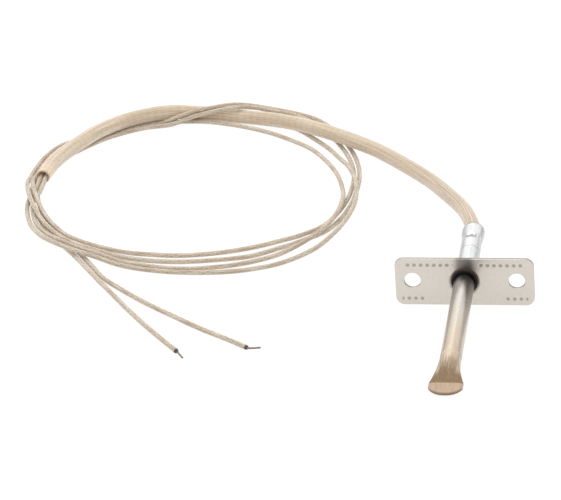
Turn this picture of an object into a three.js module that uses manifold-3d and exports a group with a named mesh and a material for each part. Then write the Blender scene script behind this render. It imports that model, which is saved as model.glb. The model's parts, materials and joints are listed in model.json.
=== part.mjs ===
// Flame sensor probe: a closed stainless tube with a flattened tip, a screwed mounting plate,
// a two-wire thermocouple insert in ceramic beads, and two glass-braided leads in a glass sleeve.
// Millimetres, +Z up. The probe lies on a flat surface: it stands on the plate's lower front edge
// and on the underside of the tube, so it leans down towards its tip, which points along -Y.
import * as THREE from 'three';
import * as BufferGeometryUtils from 'three/addons/utils/BufferGeometryUtils.js';
import Module from 'manifold-3d';

const wasm = await Module();
wasm.setup();

// ---- driving dimensions -------------------------------------------------------------------
const TUBE_R = 3;
const TUBE_WALL = 0.4;
const TUBE_FRONT = 62.2; // front face of the plate to the tip
const TUBE_REAR = 31; // front face of the plate to the open end
const FLATTEN_START = 44; // where the round tube starts to be pressed flat
const FLATTEN_END = 56.5; // where the flat tip starts
const TIP_HALF_WIDTH = 4.75;
const TIP_HALF_THICKNESS = 0.5;
const TIP_BOW = 3; // how far the flat tip's corners stand back from its rounded end
const CRIMP_LENGTH = 7;
const CRIMP_HALF_WIDTH = 3.35;
const CRIMP_HALF_HEIGHT = 3;
const BORE_END = 53.5;

const PLATE_WIDTH = 40;
const PLATE_HEIGHT = 15;
const PLATE_THICKNESS = 1;
const PLATE_CORNER_R = 2.5;
const PLATE_HOLE_R = 3.45;
const SCREW_HOLE_R = 2.4;
const SCREW_SPACING = 30;
const SCREW_RISE = 0.4; // the screw holes sit a little above the tube's axis

const GAP = 0.3; // clearance kept between neighbouring pieces
const SEGMENTS = 32;

const WIRE_R = 0.25;
const WIRE_X = 0.75;
const BEAD_R = 2;
const BEAD_BORE_R = 0.45;
const BEAD_LENGTH = 14.6;
const BEAD_PITCH = 15;
const BEAD_COUNT = 3;
const BEADS_START = 47.8; // distance of the first bead's front end from the plate's front face
const JUNCTION_AT = 50.4;
const JUNCTION_R = 0.6;

const SPLICE_X = 1.1;
const SPLICE_START = 6; // behind the plate's front face
const SPLICE_LENGTH = 9;
const FERRULE_R = 0.65;
const FERRULE_BORE_R = 0.35;
const SPLICE_SLEEVE_R = 0.95;
const SPLICE_SLEEVE_BORE_R = 0.75;
const SPLICE_OVERHANG = 1.5; // how far the splice sleeve reaches past its ferrule at each end

const SLEEVE_R = 2.4;
const SLEEVE_BORE_R = 1.95;
const LEAD_R = 0.75;
const LEAD_OFFSET = 0.85; // each lead's distance from the sleeve's centre line
const LEAD_SINK = 0.3; // the leads lie a little below the sleeve's centre line
const LEAD_START = 20.5; // where the braid starts inside the tube, behind the plate's front face
const CORE_R = 0.25;
const CONDUCTOR_R = 0.3; // the bare end, with its tinning
const BARE_A = 3.2; // length of each bare conductor
const BARE_B = 4;
const BARE_TIP_A = [-55, -32.5, 0.75]; // the point each bare conductor is bent towards
const BARE_TIP_B = [-75.9, -39.7, 0.75];
const END_SEAL_R = 0.64;
const END_SEAL_LENGTH = 0.5;

const LEAN = THREE.MathUtils.degToRad(5.6);
// the row's origin is under the middle of the rigid probe, this far behind the plate's lower front edge
const ORIGIN_Y = 16.1;

// ---- cord routes, as they lie, measured from the plate's lower front edge --------------------
const SLEEVE_ROUTE = [
  [0, 24.2, 9.9], [0, 30.2, 10.5], [-1.8, 38.5, 10.4], [-5, 49.5, 9.7], [-10.6, 62.8, 8.6],
  [-18.5, 79.8, 7], [-28.8, 96.6, 5.8], [-38.6, 110.4, 5], [-48.5, 121, 4.5],
  [-58.5, 129.5, 4.4], [-68.5, 137.1, 4], [-78.5, 143.3, 3.2], [-89.5, 148, 2.45],
  [-98.5, 150.3, 2.45], [-104.8, 150.3, 2.85], [-110.6, 148.9, 3.75], [-115.7, 147.2, 4.05],
  [-120.7, 144.8, 4], [-125.5, 141.3, 3.97], [-129.85, 136.2, 4], [-133.9, 129.1, 4.2],
  [-137.3, 119.8, 4.4], [-140.9, 107.7, 4.6], [-142.8, 98, 4.6], [-143.4, 87.5, 4.6],
];

// From the sleeve's open end: one turn, a second turn inside it, then the tail.
const LEAD_A_ROUTE = [
  [-142.6, 84, 3.6], [-143, 79.5, 2.5], [-143.3, 74.5, 2.5], [-142.9, 69, 2.3],
  [-141.4, 63, 1.6], [-138.8, 56.2, 1], [-133.4, 47.3, 1.6], [-127.8, 40, 2.6],
  [-121, 34.2, 2.75], [-114.3, 30.2, 2.5], [-106.8, 27.3, 1.1], [-98, 24.9, 0.75],
  [-88, 23, 0.75], [-77.5, 24.3, 0.75], [-67.5, 28.3, 0.75], [-59, 34.7, 0.9],
  [-52.5, 42.3, 1.9], [-48, 50.5, 2.75], [-45.6, 61, 2.75], [-45.2, 74.5, 2.4], [-46.9, 87, 1],
  [-50.3, 100, 0.75], [-55.3, 111.5, 0.75], [-61.5, 122, 0.75], [-69.5, 130.3, 0.75],
  [-79, 138, 0.75], [-89.5, 143.7, 0.75], [-101, 147.5, 0.75], [-110.5, 147.5, 0.75],
  [-118, 147.1, 0.75], [-124, 144.5, 0.75], [-129.5, 140, 0.75], [-135, 133.7, 0.8],
  [-140, 127.3, 1.6], [-143.3, 119.6, 2.5], [-145.8, 110, 2.6], [-146.8, 101, 2.6],
  [-146.9, 93, 2.7], [-146.4, 86, 4.1], [-144.9, 79.5, 4.9], [-142.8, 73, 4.4],
  [-139.9, 66.2, 3.4], [-136.4, 59.3, 2.5], [-132, 51.6, 2.45], [-126.3, 43.8, 2.5],
  [-119.8, 38.2, 2.6], [-113.5, 35.2, 2.2], [-106.5, 34.6, 1], [-98.5, 33.6, 0.75],
  [-89.5, 33, 0.75], [-79, 35, 0.75], [-69, 39.2, 0.75], [-60.6, 44.9, 0.75], [-54, 50.3, 0.75],
  [-49, 57, 0.75], [-46.2, 66, 0.75], [-44.4, 77, 0.75], [-44, 88, 0.75], [-44.8, 100, 0.75],
  [-48, 113.5, 0.75], [-52.8, 126, 0.75], [-58.5, 137.5, 0.75], [-65.2, 147, 0.9],
  [-71.5, 150.5, 2.1], [-78.5, 150.5, 3.5], [-84.5, 149, 5.25], [-90.5, 147.2, 5.95],
  [-97.8, 146.4, 4.8], [-104.5, 146, 3.2], [-110.3, 144.3, 1.5], [-113.9, 143.6, 0.8],
  [-117.9, 142.6, 0.75], [-121.5, 140.9, 0.75], [-126.5, 137.1, 0.75], [-131.5, 132.1, 0.75],
  [-136.2, 125.3, 0.75], [-140.8, 116.8, 0.75], [-144, 108.5, 0.75], [-145.6, 99.5, 0.75],
  [-145.6, 90, 0.75], [-144, 80.7, 0.75], [-141.5, 72.3, 0.75], [-138.6, 65, 0.75],
  [-135.2, 57.3, 0.75], [-130.8, 49.8, 0.75], [-125.5, 41.6, 0.75], [-120, 33, 0.75],
  [-114.6, 24, 0.75], [-109.3, 15.2, 0.75], [-102.3, 7, 0.75], [-93.3, -2.5, 0.75],
  [-83.5, -11.6, 0.75], [-73.8, -20.3, 0.75], [-65.3, -27, 0.75], [-59, -32.3, 0.75],
];
const LEAD_B_ROUTE = [
  [-144.3, 84, 3.7], [-144.8, 79.5, 2.5], [-145, 74.5, 2.4], [-144.6, 68.5, 1.8],
  [-143, 62.2, 1], [-140.1, 54.9, 0.75], [-135, 46.1, 1.4], [-129.2, 38.4, 2.5],
  [-122, 32.2, 2.75], [-115, 28.1, 2.5], [-107, 25, 1.1], [-97.5, 22, 0.75], [-87, 20.3, 0.75],
  [-75, 20.7, 0.75], [-65, 23.6, 0.75], [-56.5, 29.2, 0.75], [-48.8, 39.5, 0.9],
  [-43.8, 51.5, 1.9], [-41.2, 64, 2.75], [-41.2, 77, 2.75], [-43.3, 91, 2.7], [-47, 104, 1.8],
  [-51.3, 114, 0.75], [-56.2, 123, 0.75], [-62, 131.5, 0.75], [-68.5, 140, 0.75],
  [-77, 146.5, 0.75], [-88.5, 151.5, 0.75], [-100.5, 154.8, 0.75], [-112.5, 156.1, 0.75],
  [-124.5, 151.5, 0.75], [-132, 144, 0.75], [-137.5, 136, 0.75], [-141.7, 128.5, 1.2],
  [-145.1, 120, 2.4], [-147.6, 110, 2.6], [-148.5, 101, 2.6], [-148.6, 92.5, 2.7],
  [-148, 85.5, 3.6], [-146.6, 78.8, 4.7], [-144.5, 72.2, 4.4], [-141.6, 65.2, 3.7],
  [-138, 58.3, 2.5], [-133.5, 50.4, 2.45], [-127.6, 42.4, 2.5], [-120.8, 36.2, 2.6],
  [-114, 32.6, 2.2], [-106.6, 30.8, 1], [-97.9, 28.9, 0.75], [-88.6, 28.2, 0.75],
  [-78.2, 29.8, 0.75], [-68, 32.9, 0.75], [-59.7, 39.6, 0.75], [-53, 46, 0.75],
  [-47.6, 53, 0.75], [-44.3, 62.5, 0.75], [-42.6, 74, 0.75], [-42.2, 86, 0.75],
  [-42.9, 99, 0.75], [-45.2, 111, 0.75], [-49.2, 123.5, 0.75], [-55.1, 137, 0.75],
  [-62, 147.5, 0.9], [-69, 151.9, 1.6], [-76.5, 153.2, 2.7], [-84, 153, 4.2], [-91, 151.3, 5.5],
  [-98, 148.1, 5.7], [-105, 147.2, 4.3], [-110.6, 145.3, 3], [-114.1, 145.2, 1.55],
  [-118, 144.8, 0.85], [-122.5, 142.7, 0.75], [-127.6, 138.7, 0.75], [-132.7, 133.4, 0.75],
  [-137.5, 126.4, 0.75], [-142.2, 118.1, 0.75], [-145.7, 109.3, 0.75], [-147.4, 99.8, 0.75],
  [-147.4, 89.5, 0.75], [-145.7, 79.8, 0.75], [-143.2, 71.5, 0.75], [-140.3, 64.2, 0.75],
  [-136.8, 56.4, 0.75], [-132.3, 48.7, 0.75], [-127, 40.2, 0.75], [-121.6, 31.8, 0.75],
  [-116.2, 23, 0.75], [-111, 14.3, 0.75], [-106, 6.2, 0.75], [-97, -8.4, 0.75],
  [-87.7, -22.4, 0.75], [-78.5, -35.3, 0.75],
];

// ---- materials ------------------------------------------------------------------------------
const steel = (color, roughness) => new THREE.MeshStandardMaterial({ color, metalness: 0.9, roughness });
const matt = (color) => new THREE.MeshStandardMaterial({ color, metalness: 0, roughness: 0.85 });
const sheathSteel = steel(0xc9bfb2, 0.3);
const plateSteel = steel(0xcfc8c0, 0.35);
const brazeMetal = steel(0x8d857b, 0.5);
const wireMetal = steel(0x6f6a64, 0.4);
const ferruleMetal = steel(0xb9b4aa, 0.35);
const whiteCeramic = matt(0xe9e4d8);
const glassBraid = matt(0xd6c2a6);
const leadBraid = matt(0xcdc1ae);
const darkSeal = matt(0x4a4540);

// ---- helpers --------------------------------------------------------------------------------
const assembly = new THREE.Group();
assembly.position.y = ORIGIN_Y;

// In the probe's own frame the tube's axis is the Y axis, the tip is at -Y,
// and the plate's front face is y = 0.
const probe = new THREE.Group();
probe.rotation.x = LEAN;
probe.position.set(0, -Math.sin(LEAN) * PLATE_HEIGHT / 2, Math.cos(LEAN) * PLATE_HEIGHT / 2);
assembly.add(probe);

function addPiece(parent, name, geometry, material) {
  const mesh = new THREE.Mesh(geometry, material);
  mesh.name = name;
  parent.add(mesh);
  return mesh;
}

// A solid of revolution about the Y axis; profile points are [radius, y].
function turned(profile, segments = SEGMENTS) {
  return new THREE.LatheGeometry(profile.map(([r, y]) => new THREE.Vector2(r, y)), segments);
}

// A washer, bush or sleeve between y0 and y1, with its profile closed on itself.
function ring(outer, inner, y0, y1, segments) {
  return turned([[inner, y0], [outer, y0], [outer, y1], [inner, y1], [inner, y0]], segments);
}

// A solid rod along Y.
function rod(radius, y0, y1, segments = 12) {
  return turned([[0, y0], [radius, y0], [radius, y1], [0, y1]], segments);
}

function toManifold(geometry) {
  const plain = geometry.clone();
  plain.deleteAttribute('normal');
  plain.deleteAttribute('uv');
  const merged = BufferGeometryUtils.mergeVertices(plain, 1e-4);
  return new wasm.Manifold(new wasm.Mesh({
    numProp: 3,
    vertProperties: Float32Array.from(merged.attributes.position.array),
    triVerts: Uint32Array.from(merged.index.array),
  }));
}

function fromManifold(solid) {
  const mesh = solid.getMesh();
  const geometry = new THREE.BufferGeometry();
  geometry.setAttribute('position', new THREE.BufferAttribute(Float32Array.from(mesh.vertProperties), 3));
  geometry.setIndex(new THREE.BufferAttribute(Uint32Array.from(mesh.triVerts), 1));
  geometry.computeVertexNormals();
  return geometry;
}

function drilled(body, tools) {
  let solid = toManifold(body);
  for (const tool of tools) {
    solid = solid.subtract(toManifold(tool));
  }
  return fromManifold(solid);
}

// ---- tube -----------------------------------------------------------------------------------
// Half width, half thickness and squareness of the tube's outside at a distance y along its axis.
function tubeSection(y) {
  const press = THREE.MathUtils.clamp((-y - FLATTEN_START) / (FLATTEN_END - FLATTEN_START), 0, 1);
  const crimp = THREE.MathUtils.smoothstep(y, TUBE_REAR - CRIMP_LENGTH, TUBE_REAR - 2);
  return {
    halfWidth: TUBE_R + (TIP_HALF_WIDTH - TUBE_R) * press ** 2.2 + (CRIMP_HALF_WIDTH - TUBE_R) * crimp,
    halfThickness: TUBE_R - (TUBE_R - TIP_HALF_THICKNESS) * press ** 1.8
      - (TUBE_R - CRIMP_HALF_HEIGHT) * crimp,
    squareness: 1 + 0.7 * press,
  };
}

// Presses a turned body that was made at the round tube's size to the tube's section, inset by `inset`.
function pressToTube(geometry, inset) {
  const position = geometry.attributes.position;
  for (let i = 0; i < position.count; i += 1) {
    const x = position.getX(i);
    const y = position.getY(i);
    const z = position.getZ(i);
    const radius = Math.hypot(x, z);
    if (radius > 1e-6) {
      const { halfWidth, halfThickness, squareness } = tubeSection(y);
      const outside = TUBE_R - inset(radius);
      const share = radius / outside;
      const power = 1 / squareness;
      const cos = x / radius;
      const sin = z / radius;
      const across = Math.sign(cos) * Math.abs(cos) ** power * (halfWidth - inset(radius));
      const up = Math.sign(sin) * Math.abs(sin) ** power * (halfThickness - inset(radius));
      position.setX(i, across * share);
      position.setZ(i, up * share);
    }
  }
  return geometry;
}

function makeSheathTube() {
  const bore = TUBE_R - TUBE_WALL;
  const stations = [-TUBE_FRONT + 0.5];
  for (let y = -FLATTEN_END; y <= -FLATTEN_START; y += 1.25) {
    stations.push(y);
  }
  for (const fromEnd of [CRIMP_LENGTH, 5.5, 4, 2, 0]) {
    stations.push(TUBE_REAR - fromEnd);
  }
  const outside = stations.map((y) => [TUBE_R, y]);
  const inside = stations.filter((y) => y > -BORE_END).reverse().map((y) => [bore, y]);
  const profile = [
    [0, -TUBE_FRONT], [TUBE_R * 0.9, -TUBE_FRONT], ...outside,
    ...inside, [bore * 0.6, -BORE_END], [0, -BORE_END],
  ];
  const tube = pressToTube(turned(profile), (radius) => (radius > bore + 0.01 ? 0 : TUBE_WALL));
  // the flat tip's end is rounded off
  const position = tube.attributes.position;
  for (let i = 0; i < position.count; i += 1) {
    const y = position.getY(i);
    const share = Math.max(0, (-y - FLATTEN_END) / (TUBE_FRONT - FLATTEN_END));
    position.setY(i, y + TIP_BOW * share * (position.getX(i) / TIP_HALF_WIDTH) ** 2);
  }
  return tube;
}

// ---- plate ----------------------------------------------------------------------------------
function makeMountingPlate() {
  const w = PLATE_WIDTH / 2;
  const h = PLATE_HEIGHT / 2;
  const r = PLATE_CORNER_R;
  const outline = new THREE.Shape();
  outline.moveTo(-w + r, -h);
  outline.lineTo(w - r, -h);
  outline.absarc(w - r, -h + r, r, -Math.PI / 2, 0);
  outline.lineTo(w, h - r);
  outline.absarc(w - r, h - r, r, 0, Math.PI / 2);
  outline.lineTo(-w + r, h);
  outline.absarc(-w + r, h - r, r, Math.PI / 2, Math.PI);
  outline.lineTo(-w, -h + r);
  outline.absarc(-w + r, -h + r, r, Math.PI, 1.5 * Math.PI);
  const holes = [[0, 0, PLATE_HOLE_R]];
  for (const side of [-1, 1]) {
    holes.push([side * SCREW_SPACING / 2, SCREW_RISE, SCREW_HOLE_R]);
  }
  for (const [x, y, radius] of holes) {
    outline.holes.push(new THREE.Path().absarc(x, y, radius, 0, 2 * Math.PI, true));
  }
  const settings = { depth: PLATE_THICKNESS, bevelEnabled: false, curveSegments: 12 };
  const plate = new THREE.ExtrudeGeometry(outline, settings);
  // the outline is drawn in X and Z, and the thickness runs along +Y from the front face
  plate.rotateX(Math.PI / 2);
  plate.translate(0, PLATE_THICKNESS, 0);
  return plate;
}

// The braze that fixes the tube to the plate, a fillet behind the plate.
function makeBrazeRing() {
  const inner = TUBE_R + GAP;
  const front = PLATE_THICKNESS + GAP;
  return turned([
    [inner, front], [inner + 1.4, front], [inner + 0.5, front + 0.7], [inner, front + 1.8], [inner, front],
  ]);
}

// ---- thermocouple insert --------------------------------------------------------------------
function makeCeramicBead(index) {
  const front = -BEADS_START + index * BEAD_PITCH;
  const bores = [-1, 1].map((side) => (
    rod(BEAD_BORE_R, front - 1, front + BEAD_LENGTH + 1, 10).translate(side * WIRE_X, 0, 0)
  ));
  return drilled(rod(BEAD_R, front, front + BEAD_LENGTH, 20), bores);
}

// Ceramic cement that fills the end of the bore around the hot junction, open towards the beads.
function makeTipPacking() {
  const rear = -BEADS_START - GAP;
  const front = -BORE_END + 1;
  const outer = TUBE_R - TUBE_WALL - GAP;
  const pocket = (JUNCTION_R + GAP) * 1.6;
  const pocketEnd = -JUNCTION_AT - JUNCTION_R - GAP;
  const plug = turned([
    [0, front], [outer, front], [outer, rear], [pocket, rear], [pocket, pocketEnd], [0, pocketEnd],
  ], 24);
  return pressToTube(plug, () => TUBE_WALL + GAP);
}

// ---- wires and cords ------------------------------------------------------------------------
// A smooth curve whose extrusion rings fall on the route's own points.
class RouteCurve extends THREE.CatmullRomCurve3 {
  getUtoTmapping(u) {
    return u;
  }
}

function sweep(points, section) {
  const path = new RouteCurve(points, false, 'catmullrom', 0.5);
  return new THREE.ExtrudeGeometry(section, { steps: points.length - 1, extrudePath: path });
}

function polygon(radius, sides, path = new THREE.Shape()) {
  for (let i = 0; i < sides; i += 1) {
    const angle = 2 * Math.PI * i / sides;
    const corner = [radius * Math.cos(angle), radius * Math.sin(angle)];
    if (i === 0) {
      path.moveTo(...corner);
    } else {
      path.lineTo(...corner);
    }
  }
  path.closePath();
  return path;
}

function toVectors(route) {
  return route.map((point) => new THREE.Vector3(...point));
}

// One pole inside the tube: the thermocouple wire, the splice to the lead's core, and that core.
// side is the sign of X on which the pole runs.
function addPole(letter, side) {
  const x = side * SPLICE_X;
  const middle = SPLICE_START + SPLICE_LENGTH / 2;
  const wire = sweep(toVectors([
    [side * WIRE_X, -JUNCTION_AT + JUNCTION_R + GAP, 0], [side * WIRE_X, 0, 0], [x, SPLICE_START - 1, 0],
    [x, middle - GAP, 0],
  ]), polygon(WIRE_R, 8));
  addPiece(probe, `thermo_wire_${letter}`, wire, wireMetal);
  const barrel = ring(FERRULE_R, FERRULE_BORE_R, SPLICE_START, SPLICE_START + SPLICE_LENGTH, 12);
  addPiece(probe, `splice_ferrule_${letter}`, barrel, ferruleMetal).position.x = x;
  const coverFront = SPLICE_START - SPLICE_OVERHANG;
  const coverRear = SPLICE_START + SPLICE_LENGTH + SPLICE_OVERHANG;
  const cover = ring(SPLICE_SLEEVE_R, SPLICE_SLEEVE_BORE_R, coverFront, coverRear, 16);
  addPiece(probe, `splice_sleeve_${letter}`, cover, glassBraid).position.x = x;
  const core = rod(CORE_R, middle + GAP, LEAD_START - GAP, 8);
  addPiece(probe, `lead_core_${letter}`, core, wireMetal).position.x = x;
}

// The part of a lead that runs inside the sleeve, beside the sleeve's centre line.
function besideSleeve(side) {
  const centre = toVectors(SLEEVE_ROUTE);
  return centre.map((point, i) => {
    const ahead = centre[Math.min(i + 1, centre.length - 1)];
    const behind = centre[Math.max(i - 1, 0)];
    const heading = new THREE.Vector3(ahead.x - behind.x, ahead.y - behind.y, 0).normalize();
    const sideways = new THREE.Vector3(heading.y, -heading.x, 0).multiplyScalar(side * LEAD_OFFSET);
    return point.clone().add(sideways).setZ(point.z - LEAD_SINK);
  });
}

function leadPoints(side, route) {
  const start = new THREE.Vector3(side * LEAD_OFFSET, LEAD_START, -LEAD_SINK / 2);
  start.applyMatrix4(probe.matrix);
  return [start, ...besideSleeve(side), ...toVectors(route)];
}

function makeSleeve() {
  const section = polygon(SLEEVE_R, 12);
  section.holes.push(polygon(SLEEVE_BORE_R, 12, new THREE.Path()));
  return sweep(toVectors(SLEEVE_ROUTE), section);
}

// Stands a piece that was made along +Y at a point, along a heading.
function aim(mesh, point, heading) {
  mesh.quaternion.setFromUnitVectors(new THREE.Vector3(0, 1, 0), heading);
  mesh.position.copy(point);
}

// The stripped end of a lead: a dark seal on the braid's end and the bare solid conductor,
// which is bent off the lead's line towards its own tip point.
function addLeadEnd(letter, points, bareTip, bareLength) {
  const end = points[points.length - 1];
  const heading = end.clone().sub(points[points.length - 2]).normalize();
  const seal = rod(END_SEAL_R, GAP, GAP + END_SEAL_LENGTH);
  aim(addPiece(assembly, `end_seal_${letter}`, seal, darkSeal), end, heading);
  const bend = end.clone().addScaledVector(heading, GAP + END_SEAL_LENGTH + CONDUCTOR_R);
  const bareHeading = new THREE.Vector3(...bareTip).sub(bend).normalize();
  const conductor = rod(CONDUCTOR_R, GAP, GAP + bareLength, 10);
  aim(addPiece(assembly, `bare_conductor_${letter}`, conductor, wireMetal), bend, bareHeading);
}

// ---- assembly -------------------------------------------------------------------------------
probe.updateMatrix();
addPiece(probe, 'sheath_tube', makeSheathTube(), sheathSteel);
addPiece(probe, 'mounting_plate', makeMountingPlate(), plateSteel);
addPiece(probe, 'braze_ring', makeBrazeRing(), brazeMetal);
addPiece(probe, 'tip_packing', makeTipPacking(), whiteCeramic);
const junctionBead = new THREE.SphereGeometry(JUNCTION_R, 12, 8);
addPiece(probe, 'hot_junction', junctionBead, wireMetal).position.y = -JUNCTION_AT;
for (let i = 0; i < BEAD_COUNT; i += 1) {
  addPiece(probe, `ceramic_bead_${i + 1}`, makeCeramicBead(i), whiteCeramic);
}

addPiece(assembly, 'glass_sleeve', makeSleeve(), glassBraid);
const leads = [
  ['a', -1, LEAD_A_ROUTE, BARE_TIP_A, BARE_A], ['b', 1, LEAD_B_ROUTE, BARE_TIP_B, BARE_B],
];
for (const [letter, side, route, bareTip, bareLength] of leads) {
  addPole(letter, side);
  const points = leadPoints(side, route);
  addPiece(assembly, `lead_${letter}`, sweep(points, polygon(LEAD_R, 8)), leadBraid);
  addLeadEnd(letter, points, bareTip, bareLength);
}

export default assembly;
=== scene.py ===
# Flame sensor probe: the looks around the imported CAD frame. Metres, Z up, in the CAD's own frame.
# The sheath points along -Y, leans down to its tip, and trails a sleeve and two leads behind it.

import json
import math
from functools import partial, reduce

import bmesh
import bpy
import numpy as np
from mathutils import Matrix, Vector


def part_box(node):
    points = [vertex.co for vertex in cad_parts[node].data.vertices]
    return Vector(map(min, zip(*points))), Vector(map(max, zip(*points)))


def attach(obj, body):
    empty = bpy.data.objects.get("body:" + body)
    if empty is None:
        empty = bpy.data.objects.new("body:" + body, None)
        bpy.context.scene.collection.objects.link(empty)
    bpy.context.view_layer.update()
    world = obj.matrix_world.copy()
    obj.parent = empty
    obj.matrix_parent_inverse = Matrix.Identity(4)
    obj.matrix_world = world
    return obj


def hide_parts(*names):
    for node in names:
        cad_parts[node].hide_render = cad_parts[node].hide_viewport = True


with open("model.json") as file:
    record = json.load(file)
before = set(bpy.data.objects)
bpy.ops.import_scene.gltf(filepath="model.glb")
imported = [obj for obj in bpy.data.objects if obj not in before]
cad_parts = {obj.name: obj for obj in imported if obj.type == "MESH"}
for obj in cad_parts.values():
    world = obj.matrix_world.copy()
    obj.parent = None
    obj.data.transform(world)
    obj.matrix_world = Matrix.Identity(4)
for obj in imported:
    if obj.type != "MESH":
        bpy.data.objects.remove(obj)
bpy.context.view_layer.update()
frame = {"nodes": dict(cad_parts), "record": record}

# ---- driving values ------------------------------------------------------------------
MM = 0.001
SEATING_FACE = next(m for m in frame["record"]["mounts"] if m["name"] == "seating_face")

# the sheath, measured along its axis from the plate's front face, positive towards the open end
TUBE_R = 0.003
TUBE_WALL = 0.0004
TIP_END = -0.0622
TUBE_REAR = 0.031
FLATTEN_START = -0.044
FLATTEN_LENGTH = 0.0125
TAB_START = -0.0568
TIP_HALF_WIDTH = 0.00475
TIP_HALF_THICKNESS = 0.0005
TIP_EDGE_R = 0.0004
TIP_BOW = 0.0028  # how far the flat tip's corners stand back from its end
TIP_BOW_POWER = 2.5
BORE_END = -0.0535
CRIMP_START = 0.0235
CRIMP_HALF_WIDTH = 0.00335
CRIMP_HALF_HEIGHT = 0.0030
DIMPLE_AT = 0.0234
GROOVE_AT = 0.0172
SECOND_GROOVE_AT = 0.0255

PLATE_WIDTH = 0.040
PLATE_HEIGHT = 0.015
PLATE_THICKNESS = 0.001
PLATE_CORNER_R = 0.0025
SCREW_HOLE_R = 0.0024
SCREW_X = 0.015
SCREW_RISE = 0.0004  # from the tube's axis up to the screw holes
COLLAR_R = 0.0044  # where the drawn-in rim of the centre hole starts
PLATE_HOLE_R = 0.00345

SLEEVE_R = 0.0024
SLEEVE_BORE_R = 0.00195
SLEEVE_LENGTH = 0.256
LEAD_R = 0.00075
LEAD_A_LENGTH = 1.118
LEAD_B_LENGTH = 1.159
LEAD_OFFSET = 0.00085  # sideways from the sleeve's centre line
LEAD_SINK = 0.0003  # below it
LEAD_START = 0.0205  # inside the tube
CONDUCTOR_R = 0.0003
BARE_LENGTH_A = 0.0035
BARE_LENGTH_B = 0.0043
BEND_AT = 0.0011  # from the braid's end to the bend of the bare conductor

# The braids. Pinch narrows the start and mouth the open end, waves make the width uneven, depth is
# the strands' height in radii, relief that of the finer bumps in metres, and streaks are noise scales.
CROWN_POWER = 0.6  # below 1, a strand is fuller than a sine
CROSSING_LIFT = 0.45  # how far a strand rises where it crosses on top, in its own heights
THREADS_IN_STRAND = 5
SLEEVE_BRAID = {
    "strands": 20, "pitch": 0.11, "depth": 0.03, "relief": 0.00009, "streaks": (10.0, 40.0),
    "pinch": 0.09, "mouth": 0.14, "waves": 0.4, "sheen": 1.0, "aged": 0.8, "lit_mouth": SLEEVE_LENGTH,
    "crown": (0.56, 0.445, 0.325), "gap": (0.35, 0.26, 0.165), "light": (0.80, 0.70, 0.56),
    "stain": (0.45, 0.34, 0.225),
}
LEAD_BRAID = {
    "strands": 4, "pitch": 0.011, "depth": 0.09, "relief": 0.00009, "streaks": (2.2, 160.0),
    "pinch": 0.0, "mouth": 0.0, "waves": 1.0, "sheen": 0.35, "aged": 0.0, "lit_mouth": 0.0,
    "crown": (0.53, 0.45, 0.358), "gap": (0.31, 0.245, 0.178), "light": (0.70, 0.63, 0.53),
    "stain": (0.37, 0.28, 0.195),
}

ORIGIN_Y = 0.0161  # the plate's lower front edge, from which the cord routes are measured

# ---- cord routes, as they lie, from the plate's lower front edge ---------------------
# A point without a height is where a lead lies on the surface.
SLEEVE_ROUTE = [
    (0, 0.0242, 0.0099), (0, 0.0302, 0.0105), (-0.0018, 0.0385, 0.0104), (-0.005, 0.0495, 0.0097),
    (-0.0106, 0.0628, 0.0086), (-0.0185, 0.0798, 0.007), (-0.0288, 0.0966, 0.0058),
    (-0.0386, 0.1104, 0.005), (-0.0485, 0.121, 0.0045), (-0.0585, 0.1295, 0.0044),
    (-0.0685, 0.1371, 0.004), (-0.0785, 0.1433, 0.0032), (-0.0895, 0.148, 0.00245),
    (-0.0985, 0.1503, 0.00245), (-0.1048, 0.1503, 0.00285), (-0.1106, 0.1489, 0.00375),
    (-0.1157, 0.1472, 0.00405), (-0.1207, 0.1448, 0.004), (-0.1255, 0.1413, 0.00397),
    (-0.12985, 0.1362, 0.004), (-0.1339, 0.1291, 0.0042), (-0.1373, 0.1198, 0.0044),
    (-0.1409, 0.1077, 0.0046), (-0.1428, 0.098, 0.0046), (-0.1434, 0.0875, 0.0046),
]
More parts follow.
